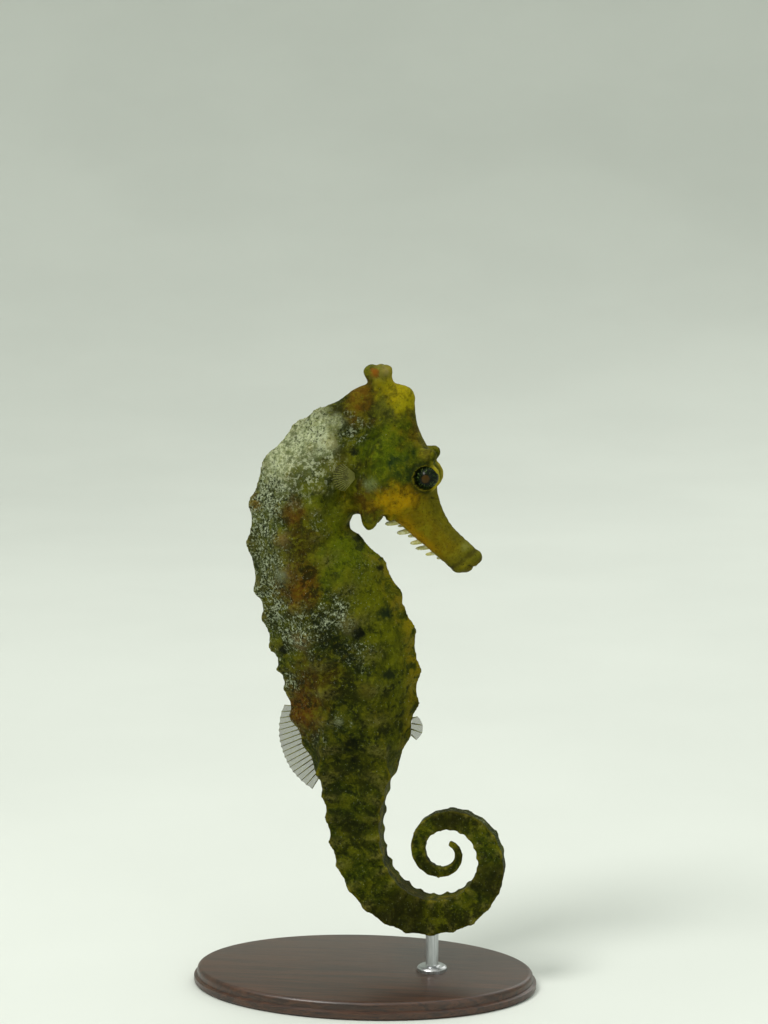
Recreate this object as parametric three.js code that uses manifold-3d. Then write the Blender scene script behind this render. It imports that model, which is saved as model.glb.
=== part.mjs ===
// A seahorse, life size, held upright on a plain display stand.
// Millimetres, +Z up. The animal faces +X, its right side is towards -Y, and the origin is the middle of
// the underside of the stand's base. The body is symmetric about the plane y = 0, and its tail curls
// forwards in that plane.
import * as THREE from "three";
import { mergeVertices } from "three/addons/utils/BufferGeometryUtils.js";
import Module from "manifold-3d";

const wasm = await Module();
wasm.setup();

// ---- driving dimensions ----

const GAP = 0.3; // clearance between neighbouring pieces
const LAST_TRUNK_RING = 12; // the rings after it belong to the tail
const TAIL_RINGS = 34;

// Middle line and half sizes of the neck and trunk at every second ring, from ring -2 at the nape.
// x and z place the middle, depth is half of back to belly, width is half of side to side.
const FIRST_RING = -2;
const trunkStations = [
  { x: 1.4, z: 102.4, depth: 2.4, width: 1.8 },
  { x: -2.9, z: 96.4, depth: 6.8, width: 4.2 },
  { x: -9.8, z: 88.6, depth: 7.8, width: 5.0 },
  { x: -10.6, z: 78.9, depth: 9.1, width: 6.2 },
  { x: -6.4, z: 69.1, depth: 11.8, width: 7.6 },
  { x: -2.7, z: 58.6, depth: 12.1, width: 7.9 },
  { x: -1.6, z: 48.1, depth: 10.8, width: 7.0 },
  { x: -1.3, z: 38.2, depth: 7.5, width: 4.9 },
  { x: -2.2, z: 29.5, depth: 5.0, width: 4.1 },
];

// The tail leaves the trunk downwards and bends ever tighter towards its tip.
const tail = {
  length: 82,
  easing: 24, // length over which the bend sets in
  widestBend: 13, // radius of the bend after that
  tightestBend: 2, // radius at the tip
  rootDepth: 5.2,
  tipDepth: 0.6,
  rootWidth: 4.1,
  tipWidth: 0.6,
  narrowing: 3.5, // length over which the trunk narrows into the tail
  ringTaper: 0.8, // how much closer the last rings are than the first
};

// Corners of a cross-section from the middle of the back to the middle of the belly, as shares of the
// half depth and half width: back, upper ridge, side ridge, lower ridge, belly.
const trunkCorners = [[0.95, 0], [1, 0.42], [0.36, 0.98], [-0.4, 0.88], [-1, 0]];
const tailCorners = [[0.95, 0], [0.96, 0.46], [0.94, 0.94], [-0.94, 0.94], [-0.95, 0]];
const trunkRidges = [0, 1, 1, 1, 0.7]; // how strong the ridge at each corner is
const tailRidges = [0, 0, 1, 1, 0];
const tailSetsIn = [9.5, 13]; // rings between which one section turns into the other
const roundness = 0.6; // how far the sides between two corners swell towards an ellipse

// Bony relief: ridges run along the body, rings run round it, and a knob stands where they cross.
const relief = { hollow: 0.35, ringSink: 0.32, knob: 0.55, ridgeWidth: 0.24 };

// The head is set out along an axis from the nape to the mouth: s runs along it, and h across it,
// towards the forehead. low and high are the profile's two edges, width is half the head's width.
const headAxis = { x: -2.4, z: 99.3, dx: 0.616, dz: -0.788 };
const headStations = [
  { s: -3.5, low: 0.3, high: 4.0, width: 1.4 },
  { s: -2.7, low: -1.6, high: 6.2, width: 2.4 },
  { s: -1.0, low: -4.0, high: 8.8, width: 3.1 },
  { s: 1.0, low: -5.5, high: 10.8, width: 3.4 },
  { s: 2.8, low: -6.2, high: 11.2, width: 3.6 },
  { s: 4.9, low: -7.0, high: 10.3, width: 3.9 },
  { s: 7.8, low: -7.8, high: 8.6, width: 4.5 },
  { s: 10.8, low: -8.7, high: 7.9, width: 5.0 },
  { s: 13.5, low: -8.8, high: 7.4, width: 5.1 },
  { s: 15.5, low: -6.9, high: 6.9, width: 4.6 },
  { s: 17.3, low: -4.8, high: 6.1, width: 3.8 },
  { s: 19.2, low: -4.3, high: 4.2, width: 3.0 },
  { s: 21.0, low: -4.0, high: 3.4, width: 2.5 },
  { s: 23.6, low: -3.4, high: 2.8, width: 2.2 },
  { s: 26.0, low: -2.8, high: 2.7, width: 2.15 },
  { s: 28.4, low: -2.3, high: 3.2, width: 2.3 },
  { s: 30.6, low: -1.9, high: 3.6, width: 2.5 },
  { s: 32.1, low: -1.6, high: 3.7, width: 2.4 },
  { s: 33.0, low: -0.5, high: 2.9, width: 1.5 },
];
const snoutStart = 11; // counted in stations
const mouthStart = 16;
const cheekEgg = 0.3; // how much wider the head is at the gill covers than at the forehead
const headBack = -1.9; // x of the cut between head and neck

const eye = { s: 15.7, h: 4.75, y: 2.75, radius: 2.1 };
const orbit = { s: 15.65, h: 4.4, y: 2.1, radius: 2.8, flat: 0.9 };
const mouthSlit = { s: 32.9, h: 1.5, length: 2.6, height: 0.35, tilt: 12 };
const fringe = { first: 17.9, last: 28.4, count: 8, radius: 0.36, shortest: 1.0, longest: 2.1 };

// Spines and bumps of the head: where each is rooted, which way it points, and its size.
const browSpine = { s: 12.5, h: 6.4, y: 2.1, points: [0.2, 1, 0.25], radius: 1.35, length: 2.8 };
const cheekSpine = { s: 14.3, h: -6.8, y: 3.0, points: [0.75, -0.66, 0.25], radius: 1.35, length: 3.7 };
const smallCheekSpine = { s: 16.6, h: -4.5, y: 2.4, points: [0.3, -0.9, 0.2], radius: 0.8, length: 1.8 };
const foreheadBump = { s: 2.7, h: 9.3, radius: 2.2, flat: 0.8 };
const coronet = { x: 2.4, z: 107.4, rootX: 3.6, rootZ: 102.6, stalk: 2.0, knobs: 5, knobRadius: 1.2, spread: 1.45 };

const dorsalFin = { from: 9.7, to: 12.2, height: 5.4, sweep: 0.32, rays: 9, thickness: 0.7 };
const analFin = { from: 10.2, to: 10.75, height: 1.9, sweep: 0.3, rays: 3, thickness: 0.7 };
const pectoralFin = { x: -0.6, z: 90.1, y: 4.1, radius: 4.3, spread: 90, open: 24, droop: 4, rays: 8, thickness: 0.6 };
const finRoot = 1.2; // how deep a fin's plate reaches in before the body is cut from it

const stand = {
  halfLength: 30,
  halfDepth: 20,
  thickness: 3,
  bevel: 0.8,
  rod: 1.1,
  collar: 2.6,
  collarHeight: 0.9,
  intoTail: 2.6,
};

// ---- materials ----

function finish(colour, roughness, metalness = 0) {
  return new THREE.MeshStandardMaterial({ color: colour, roughness, metalness });
}
const oliveSkin = finish(0x5d6414, 0.62);
const yellowSkin = finish(0x7e7412, 0.6);
const brownSkin = finish(0x4c4714, 0.65);
const finMembrane = finish(0x8f8f4a, 0.45);
const darkEye = finish(0x141c10, 0.12);
const darkWood = finish(0x2b1b12, 0.45);
const steel = finish(0xb9bcc0, 0.3, 1);

// ---- solids ----

// A geometry whose equal corners are one vertex and whose faces point out.
function closed(geometry) {
  geometry.deleteAttribute("normal");
  geometry.deleteAttribute("uv");
  const merged = mergeVertices(geometry, 1e-4);
  const p = merged.attributes.position;
  const index = merged.index.array;
  const [a, b, c] = [new THREE.Vector3(), new THREE.Vector3(), new THREE.Vector3()];
  let volume = 0;
  for (let i = 0; i < index.length; i += 3) {
    a.fromBufferAttribute(p, index[i]);
    b.fromBufferAttribute(p, index[i + 1]);
    c.fromBufferAttribute(p, index[i + 2]);
    volume += a.dot(b.cross(c));
  }
  if (volume < 0) {
    for (let i = 0; i < index.length; i += 3) {
      [index[i + 1], index[i + 2]] = [index[i + 2], index[i + 1]];
    }
  }
  return merged;
}

function solid(geometry) {
  const g = closed(geometry);
  const mesh = new wasm.Mesh({
    numProp: 3,
    vertProperties: new Float32Array(g.attributes.position.array),
    triVerts: new Uint32Array(g.index.array),
  });
  return new wasm.Manifold(mesh);
}

function geometryOf(manifold) {
  const { numProp, vertProperties, triVerts } = manifold.getMesh();
  const points = [];
  for (let i = 0; i < vertProperties.length; i += numProp) {
    points.push(vertProperties[i], vertProperties[i + 1], vertProperties[i + 2]);
  }
  const g = new THREE.BufferGeometry();
  g.setAttribute("position", new THREE.Float32BufferAttribute(points, 3));
  g.setIndex([...triVerts]);
  g.computeVertexNormals();
  return g;
}

// A closed tube. section(v), for v from 0 to 1 along it, gives the middle and the rim's corners by number.
function loft(around, along, section) {
  const g = new THREE.CylinderGeometry(1, 1, 1, around, along);
  const p = g.attributes.position;
  for (let i = 0; i < p.count; i++) {
    const { rim, middle } = section(0.5 - p.getY(i));
    const onRim = Math.hypot(p.getX(i), p.getZ(i)) > 0.5;
    const turn = Math.atan2(p.getX(i), p.getZ(i)) / (2 * Math.PI);
    const corner = (Math.round(turn * around) + around) % around;
    const q = onRim ? rim(corner) : middle;
    p.setXYZ(i, q.x, q.y, q.z);
  }
  return solid(g);
}

function ball(at, radius, scaleY = 1, around = 14, along = 9) {
  return solid(new THREE.SphereGeometry(radius, around, along).scale(1, scaleY, 1).translate(at.x, at.y, at.z));
}

function box(from, to) {
  const [sx, sy, sz] = [to[0] - from[0], to[1] - from[1], to[2] - from[2]];
  return solid(new THREE.BoxGeometry(sx, sy, sz).translate(from[0] + sx / 2, from[1] + sy / 2, from[2] + sz / 2));
}

// A shape turned about the z axis, from points of radius and height.
function turned(profile, around) {
  return new THREE.LatheGeometry(profile.map(([r, z]) => new THREE.Vector2(r, z)), around).rotateX(Math.PI / 2);
}

// A blunt spine standing on a root and pointing a given way, with its foot sunk in by its own radius.
function spine(root, direction, radius, length, around = 8) {
  const g = turned([
    [0, -radius],
    [radius, 0],
    [radius * 0.76, length * 0.6],
    [radius * 0.42, length * 0.92],
    [0, length],
  ], around);
  g.applyQuaternion(new THREE.Quaternion().setFromUnitVectors(new THREE.Vector3(0, 0, 1), direction.clone().normalize()));
  return solid(g.translate(root.x, root.y, root.z));
}

function bothSides(make) {
  return make(1).add(make(-1));
}

// ---- small sums ----

const radians = THREE.MathUtils.degToRad;
const mix = THREE.MathUtils.lerp;
const smooth = (from, to, x) => THREE.MathUtils.smoothstep(x, from, to);

// The value at t of a smooth curve through one key of a row of stations, after Catmull and Rom.
function through(stations, key, t) {
  const i = Math.min(Math.max(Math.floor(t), 0), stations.length - 2);
  const [p0, p1, p2, p3] = [i - 1, i, i + 1, i + 2].map((k) => stations[Math.min(Math.max(k, 0), stations.length - 1)][key]);
  const f = t - i;
  const [v1, v2] = [(p2 - p0) / 2, (p3 - p1) / 2];
  return p1 + v1 * f + (3 * (p2 - p1) - 2 * v1 - v2) * f * f + (2 * (p1 - p2) + v1 + v2) * f * f * f;
}

// ---- the body's middle line ----

function trunkAt(ring) {
  const at = (key, r) => through(trunkStations, key, (r - FIRST_RING) / 2);
  const e = 0.01;
  const heading = Math.atan2(at("z", ring + e) - at("z", ring - e), at("x", ring + e) - at("x", ring - e));
  return { x: at("x", ring), z: at("z", ring), heading, depth: at("depth", ring), width: at("width", ring) };
}

// How far down the tail a ring is, as a share of its length.
function tailShare(ring) {
  const m = Math.min(1, (ring - LAST_TRUNK_RING) / TAIL_RINGS);
  return (m * (1 - 0.5 * tail.ringTaper * m)) / (1 - 0.5 * tail.ringTaper);
}

// The tail's middle line, walked in short steps that turn by its curvature.
const tailWalk = (() => {
  const walk = [trunkAt(LAST_TRUNK_RING)];
  const steps = 820;
  const step = tail.length / steps;
  for (let i = 0; i < steps; i++) {
    const s = (i + 0.5) * step;
    const past = Math.max(0, (s - tail.easing) / (tail.length - tail.easing));
    const turn = (smooth(0, tail.easing, s) / mix(tail.widestBend, tail.tightestBend, past)) * step;
    const { x, z, heading } = walk[i];
    const middle = heading + turn / 2;
    walk.push({ x: x + Math.cos(middle) * step, z: z + Math.sin(middle) * step, heading: heading + turn });
  }
  return walk;
})();

function tailAt(ring) {
  const share = tailShare(ring);
  const root = tailWalk[0];
  const flare = Math.exp((-share * tail.length) / tail.narrowing);
  return {
    ...tailWalk[Math.round(share * (tailWalk.length - 1))],
    depth: mix(tail.rootDepth, tail.tipDepth, share) + (root.depth - tail.rootDepth) * flare,
    width: mix(tail.rootWidth, tail.tipWidth, share) + (root.width - tail.rootWidth) * flare,
  };
}

const bodyAt = (ring) => (ring < LAST_TRUNK_RING ? trunkAt(ring) : tailAt(ring));

// ---- the body's surface ----

// A point of the body's surface. turn runs from 0 at the back to 4 at the belly, with a corner of the
// section at every whole number. side is 1 on the left and -1 on the right.
function bodyPoint(ring, turn, side, grow = 0) {
  const c = bodyAt(ring);
  const toTail = smooth(tailSetsIn[0], tailSetsIn[1], ring);
  const corner = (k, j) => mix(trunkCorners[k][j], tailCorners[k][j], toTail);
  const first = Math.min(Math.floor(turn), 3);
  const f = turn - first;
  let [deep, wide] = [mix(corner(first, 0), corner(first + 1, 0), f), mix(corner(first, 1), corner(first + 1, 1), f)];
  const swell = 1 + roundness * (1 - toTail) * Math.sin(Math.PI * f) * (1 / Math.hypot(deep, wide) - 1);
  [deep, wide] = [deep * swell, wide * swell];

  const nearest = Math.round(turn);
  const strength = mix(trunkRidges[nearest], tailRidges[nearest], toTail);
  const ridge = strength * Math.exp(-(((turn - nearest) / relief.ridgeWidth) ** 2));
  const onRing = (0.5 + 0.5 * Math.cos(2 * Math.PI * ring)) ** 2;
  const size = Math.min(1, (c.depth / 11) ** 0.7) * smooth(-1.5, 1, ring);
  const rise = size * (relief.knob * onRing * ridge - relief.hollow * (1 - ridge) - relief.ringSink * (1 - onRing));
  const across = (c.depth + rise + grow) * deep;
  return new THREE.Vector3(
    c.x + Math.sin(c.heading) * across,
    (c.width + rise + grow) * wide * side,
    c.z - Math.cos(c.heading) * across,
  );
}

// The turns at which a section has corners, given the number of steps between one ridge and the next.
function turnsOf(steps) {
  return [0, ...steps.flatMap((count, i) => Array.from({ length: count }, (_, k) => i + (k + 1) / count))];
}
const trunkTurns = turnsOf([2, 3, 3, 3]);
const tailTurns = turnsOf([1, 1, 2, 2]);

// A length of the body from one ring to another, ending short of the next length by the clearance.
function bodyLength(from, to, perRing, turns, grow = 0) {
  const [end, before] = [bodyAt(to), bodyAt(to - 0.1)];
  const last = to - (0.1 * (GAP - grow)) / Math.hypot(end.x - before.x, end.z - before.z);
  const half = turns.length - 1;
  return loft(2 * half, Math.round((to - from) * perRing), (v) => {
    const ring = Math.min(mix(from, to, v), last);
    const { x, z } = bodyAt(ring);
    return {
      middle: new THREE.Vector3(x, 0, z),
      rim: (k) => (k <= half ? bodyPoint(ring, turns[k], 1, grow) : bodyPoint(ring, turns[2 * half - k], -1, grow)),
    };
  });
}

// ---- the head ----

function headPoint(s, h, y = 0) {
  return new THREE.Vector3(headAxis.x + headAxis.dx * s - headAxis.dz * h, y, headAxis.z + headAxis.dz * s + headAxis.dx * h);
}

function headDirection(s, h, y) {
  return headPoint(s, h, y).sub(headPoint(0, 0, 0));
}

// A length of the head from one station to another, counted along the row of stations.
function headLength(from, to, around, along, grow = 0) {
  return loft(around, along, (v) => {
    const at = (key) => through(headStations, key, mix(from, to, v));
    const [low, high, width] = [at("low") - grow, at("high") + grow, at("width") + grow];
    const s = at("s") + (v < 0.001 ? -grow : 0) + (v > 0.999 ? grow : 0);
    const middle = (low + high) / 2;
    return {
      middle: headPoint(s, middle),
      rim: (k) => {
        const angle = (2 * Math.PI * k) / around;
        const up = Math.cos(angle);
        const out = Math.sin(angle) * (1 - cheekEgg * up);
        return headPoint(s, middle + (up * (high - low)) / 2, out * width);
      },
    };
  });
}

const headGap = 0.15; // in stations, the clearance between two lengths of the head

function headSolid() {
  const pairOf = ({ s, h, y, points: [ds, dh, dy], radius, length }) =>
    bothSides((side) => spine(headPoint(s, h, side * y), headDirection(ds, dh, side * dy), radius, length));
  const parts = [
    bothSides((side) => ball(headPoint(orbit.s, orbit.h, side * orbit.y), orbit.radius, orbit.flat, 14, 8)),
    ball(headPoint(foreheadBump.s, foreheadBump.h), foreheadBump.radius, foreheadBump.flat, 12, 7),
    pairOf(browSpine),
    pairOf(cheekSpine),
    pairOf(smallCheekSpine),
  ];
  const whole = parts.reduce((sum, part) => sum.add(part), headLength(0, snoutStart - headGap, 18, 18));
  return withFringe(whole, 0, snoutStart);
}

// The skin filaments under the snout that stand between two stations, joined to a solid.
function withFringe(shape, from, to) {
  let fringed = shape;
  for (let i = 0; i < fringe.count; i++) {
    const s = mix(fringe.first, fringe.last, i / (fringe.count - 1));
    const k = headStations.findIndex((q) => q.s > s) - 1;
    const [a, b] = [headStations[k], headStations[k + 1]];
    if (k >= from && k < to) {
      const low = mix(a.low, b.low, (s - a.s) / (b.s - a.s));
      const length = mix(fringe.shortest, fringe.longest, Math.sin((Math.PI * (i + 0.5)) / fringe.count) ** 2);
      const lean = i % 2 ? 0.2 : -0.2;
      const root = headPoint(s, low + 0.3, 1.5 * lean);
      fringed = fringed.add(spine(root, headDirection(-0.45, -1, lean), fringe.radius, length, 5));
    }
  }
  return fringed;
}

function mouthSolid() {
  const { s, h, length, height, tilt } = mouthSlit;
  const at = headPoint(s, h);
  const slit = new THREE.BoxGeometry(length, 12, height);
  slit.rotateY(Math.atan2(-headAxis.dz, headAxis.dx) - radians(tilt)).translate(at.x, 0, at.z);
  return headLength(mouthStart, headStations.length - 1, 16, 6).subtract(solid(slit));
}

const eyeSolid = (side, grow = 0) => ball(headPoint(eye.s, eye.h, side * eye.y), eye.radius + grow, 1, 12, 8);

function coronetSolid() {
  const { x, z, rootX, rootZ, stalk, knobs, knobRadius, spread } = coronet;
  const lean = new THREE.Vector3(x - rootX, 0, z - rootZ);
  let crown = solid(turned([[0, -1], [stalk * 1.15, -1], [stalk * 0.9, 2.4], [stalk, 4.2], [0, 4.6]], 10)
    .applyQuaternion(new THREE.Quaternion().setFromUnitVectors(new THREE.Vector3(0, 0, 1), lean.clone().normalize()))
    .translate(rootX, 0, rootZ));
  for (let i = 0; i < knobs; i++) {
    const a = (2 * Math.PI * i) / knobs;
    crown = crown.add(ball(new THREE.Vector3(x + Math.cos(a) * spread, Math.sin(a) * spread, z), knobRadius, 1, 8, 5));
  }
  return crown;
}

// ---- fins ----

// A thin plate standing on a root, from an outline in its own plane.
function plate(outline, thickness, right, up, at) {
  const shape = new THREE.Shape(outline.map(([a, b]) => new THREE.Vector2(a, b)));
  const g = new THREE.ExtrudeGeometry(shape, { depth: thickness, bevelEnabled: false }).translate(0, 0, -thickness / 2);
  const normal = new THREE.Vector3().crossVectors(right, up);
  g.applyMatrix4(new THREE.Matrix4().makeBasis(right, up, normal));
  return solid(g.translate(at.x, at.y, at.z));
}

// A fin in the middle plane, rooted on the back or the belly between two rings, its edge drawn in
// between the rays.
function middleFin({ from, to, height, sweep, rays, thickness }, turn, trunk) {
  const [a, b] = [bodyPoint(from, turn, 1), bodyPoint(to, turn, 1)];
  const run = b.clone().sub(a);
  const length = run.length();
  const outline = [[0, -finRoot], [length, -finRoot]];
  for (let i = 2 * rays; i >= 0; i--) {
    const t = i / (2 * rays);
    const rise = height * (0.6 + 0.4 * Math.sin(Math.PI * mix(0.12, 0.95, t))) * (i % 2 ? 0.94 : 1);
    outline.push([length * t + sweep * height * (2 * t - 0.6), rise]);
  }
  run.normalize();
  const outwards = new THREE.Vector3(run.z, 0, -run.x).multiplyScalar(turn < 2 ? 1 : -1);
  return plate(outline, thickness, run, outwards, a).subtract(trunk);
}

function pectoralSolid(side, neck) {
  const { x, y, z, radius, spread, rays, thickness } = pectoralFin;
  const [open, droop] = [radians(pectoralFin.open), radians(pectoralFin.droop)];
  const outline = [[-finRoot, 0.9], [-finRoot, -0.9]];
  for (let i = 0; i <= 2 * rays; i++) {
    const a = radians(spread) * (i / (2 * rays) - 0.5);
    const r = radius * (i % 2 ? 0.94 : 1);
    outline.push([r * Math.cos(a), r * Math.sin(a)]);
  }
  const back = new THREE.Vector3(-Math.cos(open) * Math.cos(droop), side * Math.sin(open), -Math.cos(open) * Math.sin(droop));
  const up = new THREE.Vector3(-Math.sin(droop), 0, Math.cos(droop));
  return plate(outline, thickness, back, up, new THREE.Vector3(x, side * y, z)).subtract(neck);
}

// ---- the stand ----

// The lowest point of the tail's coil, where the rod enters.
const lowest = Array.from({ length: 120 }, (_, i) => bodyPoint(18 + i / 10, 0, 1)).reduce((a, b) => (a.z < b.z ? a : b));

function rodSolid(grow = 0) {
  const { rod, collar, collarHeight, thickness, intoTail } = stand;
  const top = lowest.z + intoTail + grow;
  return solid(turned([
    [0, thickness],
    [collar, thickness],
    [collar, thickness + collarHeight * 0.6],
    [collar - 0.4, thickness + collarHeight],
    [rod + grow, thickness + collarHeight],
    [rod + grow, top - 0.3],
    [rod + grow - 0.3, top],
    [0, top],
  ], 14).translate(lowest.x, 0, 0));
}

function baseSolid() {
  const { halfLength, halfDepth, thickness, bevel } = stand;
  return solid(turned([
    [0, 0],
    [halfLength - bevel / 2, 0],
    [halfLength, bevel / 2],
    [halfLength, thickness - bevel],
    [halfLength - bevel, thickness],
    [0, thickness],
  ], 44).scale(1, halfDepth / halfLength, 1));
}

// ---- the model ----

const seahorse = new THREE.Group();

function show(name, shape, material) {
  const mesh = new THREE.Mesh(geometryOf(shape), material);
  mesh.name = name;
  seahorse.add(mesh);
}

const neckEnd = 3;
const trunkEnd = 12.5;
const tailLengths = { tail_root: 18.5, tail_sweep: 24, tail_rise: 29, tail_curl: 35, tail_tip: LAST_TRUNK_RING + TAIL_RINGS };

const eyes = bothSides((side) => eyeSolid(side, GAP));
const headAndNeck = headSolid().add(bodyLength(FIRST_RING, neckEnd, 4, trunkTurns));
const ahead = box([headBack + GAP / 2, -20, 60], [60, 20, 130]);
const behind = box([-60, -20, 60], [headBack - GAP / 2, 20, 130]);
const headRoom = headLength(0, snoutStart, 18, 18, GAP);
const bodyRoom = bodyLength(FIRST_RING, neckEnd, 4, trunkTurns, GAP).add(bodyLength(neckEnd, trunkEnd, 4, trunkTurns, GAP));

show("head", headAndNeck.intersect(ahead).subtract(eyes), oliveSkin);
show("neck", headAndNeck.intersect(behind), oliveSkin);
show("snout", withFringe(headLength(snoutStart, mouthStart - headGap, 16, 8), snoutStart, mouthStart), yellowSkin);
show("mouth", mouthSolid(), yellowSkin);
show("coronet", coronetSolid().subtract(headRoom.add(bodyRoom)), yellowSkin);
show("eye_left", eyeSolid(1), darkEye);
show("eye_right", eyeSolid(-1), darkEye);

show("trunk", bodyLength(neckEnd, trunkEnd, 4, trunkTurns), oliveSkin);
const rodRoom = rodSolid(GAP);
let tailStart = trunkEnd;
for (const [name, tailEnd] of Object.entries(tailLengths)) {
  show(name, bodyLength(tailStart, tailEnd, 2, tailTurns).subtract(rodRoom), brownSkin);
  tailStart = tailEnd;
}

show("dorsal_fin", middleFin(dorsalFin, 0, bodyRoom), finMembrane);
show("anal_fin", middleFin(analFin, 4, bodyRoom), finMembrane);
show("pectoral_fin_left", pectoralSolid(1, bodyRoom.add(headRoom)), finMembrane);
show("pectoral_fin_right", pectoralSolid(-1, bodyRoom.add(headRoom)), finMembrane);

show("stand_base", baseSolid(), darkWood);
show("stand_rod", rodSolid(), steel);

export default seahorse;
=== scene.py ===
import math
from functools import cache

import bmesh
import bpy
import numpy as np
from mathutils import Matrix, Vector, noise


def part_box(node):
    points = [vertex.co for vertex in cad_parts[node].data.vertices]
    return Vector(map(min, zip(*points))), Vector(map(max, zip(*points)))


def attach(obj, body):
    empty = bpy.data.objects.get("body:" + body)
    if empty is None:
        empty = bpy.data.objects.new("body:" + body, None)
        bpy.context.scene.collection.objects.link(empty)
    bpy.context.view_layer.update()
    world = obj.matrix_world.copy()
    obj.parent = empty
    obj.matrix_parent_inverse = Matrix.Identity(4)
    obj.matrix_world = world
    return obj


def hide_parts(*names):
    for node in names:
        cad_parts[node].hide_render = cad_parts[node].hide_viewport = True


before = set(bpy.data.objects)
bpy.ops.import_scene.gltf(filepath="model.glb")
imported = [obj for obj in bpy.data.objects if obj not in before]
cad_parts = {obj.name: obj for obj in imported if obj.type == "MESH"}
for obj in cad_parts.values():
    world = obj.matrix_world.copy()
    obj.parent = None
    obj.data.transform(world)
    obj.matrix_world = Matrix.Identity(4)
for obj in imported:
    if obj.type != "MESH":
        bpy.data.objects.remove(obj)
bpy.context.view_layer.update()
print("frame loaded,", len(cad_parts), "nodes")

# Pieces are shaped in millimetres and scaled to metres at the end. The seahorse faces +X.


def mix(a, b, t):
    return a + (b - a) * t


def ease(low, high, x):
    t = np.clip((x - low) / (high - low), 0, 1)
    return t * t * (3 - 2 * t)


def bell(x, width):
    return np.exp(-((x / width) ** 2))


def through(rows, t):
    # the point at t of a smooth curve through rows of numbers
    last = len(rows) - 1
    i = min(max(int(t), 0), last - 1)
    p0, p1, p2, p3 = (np.array(rows[min(max(k, 0), last)], float) for k in range(i - 1, i + 3))
    f = t - i
    v1, v2 = (p2 - p0) / 2, (p3 - p1) / 2
    return p1 + v1 * f + (3 * (p2 - p1) - 2 * v1 - v2) * f * f + (2 * (p1 - p2) + v1 + v2) * f * f * f


camera = {
    "azimuth": 8,
    "elevation": 9,
    "distance": 0.5,
    "lookAt": (0.00345, 0, 0.0834),
    "height": 0.174,  # what the picture takes in from bottom to top at that distance
}


def addObject(name, data):
    made = bpy.data.objects.new(name, data)
    bpy.context.scene.collection.objects.link(made)
    return made


def makeCamera():
    data = bpy.data.cameras.new("camera")
    seen = addObject("camera", data)
    a, e = math.radians(camera["azimuth"]), math.radians(camera["elevation"])
    back = Vector((math.sin(a) * math.cos(e), -math.cos(a) * math.cos(e), math.sin(e)))
    seen.location = Vector(camera["lookAt"]) + back * camera["distance"]
    seen.rotation_euler = back.to_track_quat("Z", "Y").to_euler()
    data.lens = data.sensor_width * camera["distance"] / camera["height"]
    data.clip_start = 0.01
    bpy.context.scene.camera = seen


makeCamera()
print("camera placed")


def tint(*shade):
    # red, green and blue in 0 to 255 as the linear colour that a shader takes
    linear = [c / 255 / 12.92 if c < 11 else ((c / 255 + 0.055) / 1.055) ** 2.4 for c in shade]
    return (*linear, 1)


class Wire:
    # a socket that sums can be written with, each sum adding its Math node
    def __init__(self, tree, socket=None):
        self.tree = tree
        self.socket = socket

    def node(self, kind, settings, sockets, out=0):
        made = self.tree.nodes.new(kind)
        for key, value in settings.items():
            setattr(made, key, value)
        for key, value in sockets.items() if isinstance(sockets, dict) else enumerate(sockets):
            if isinstance(value, Wire):
                self.tree.links.new(value.socket, made.inputs[key])
            else:
                made.inputs[key].default_value = value
        return Wire(self.tree, made.outputs[out])

    def math(self, operation, *others):
        return self.node("ShaderNodeMath", {"operation": operation}, (self, *others))

    def vector(self, operation, *others, out=0):
        return self.node("ShaderNodeVectorMath", {"operation": operation}, (self, *others), out)

    def __add__(self, other):
        return self.math("ADD", other)

    def __sub__(self, other):
        return self.math("SUBTRACT", other)

    def __rsub__(self, other):
        return self.node("ShaderNodeMath", {"operation": "SUBTRACT"}, (other, self))

    def __mul__(self, other):
        return self.math("MULTIPLY", other)

    __radd__ = __add__
    __rmul__ = __mul__

    def step(self, low, high):
        # 0 below low and 1 above high, or falling where low is the higher
        ends = (low, high, 0.0, 1.0) if low < high else (high, low, 1.0, 0.0)
        return self.node("ShaderNodeMapRange", {"interpolation_type": "SMOOTHSTEP"}, (self, *ends))

    def over(self, under, colour, amount):
        # colour laid over another where this mask is 1
        sockets = {0: self if amount == 1 else self * amount, 6: under, 7: colour}
        return self.node("ShaderNodeMix", {"data_type": "RGBA"}, sockets, out=2)

    def part(self, axis):
        return self.node("ShaderNodeSeparateXYZ", {}, (self,), axis)

    def stretched(self, scale):
        return self.node("ShaderNodeMapping", {}, {0: self, 3: scale})

    def noise(self, scale, detail, roughness, distortion=0.0):
        amounts = {"Scale": scale, "Detail": detail, "Roughness": roughness, "Distortion": distortion}
        return self.node("ShaderNodeTexNoise", {}, {"Vector": self, **amounts})

    def attribute(self, name, out="Fac"):
        return self.node("ShaderNodeAttribute", {"attribute_name": name}, {}, out)


def layered(under, *layers):
    # each layer is a mask, a colour or a socket that gives one, and how much it shows
    colour = tint(*under)
    for mask, shade, amount in layers:
        colour = mask.over(colour, shade if isinstance(shade, Wire) else tint(*shade), amount)
    return colour


def material(name, paint):
    # paint takes the place in millimetres and gives the shader's sockets and a bump's height
    made = bpy.data.materials.new(name)
    made.use_nodes = True
    tree = made.node_tree
    tree.nodes.clear()
    start = Wire(tree)
    place = start.node("ShaderNodeTexCoord", {}, {}, "Object").stretched((1000, 1000, 1000))
    sockets = paint(place)
    height = sockets.pop("height", None)
    if height is not None:
        raised = {"Height": height, "Distance": 0.001, "Strength": 1.0}
        sockets["Normal"] = start.node("ShaderNodeBump", {}, raised, out="Normal")
    shader = start.node("ShaderNodeBsdfPrincipled", {}, sockets, out="BSDF")
    output = tree.nodes.new("ShaderNodeOutputMaterial")
    tree.links.new(shader.socket, output.inputs["Surface"])
    return made


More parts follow.
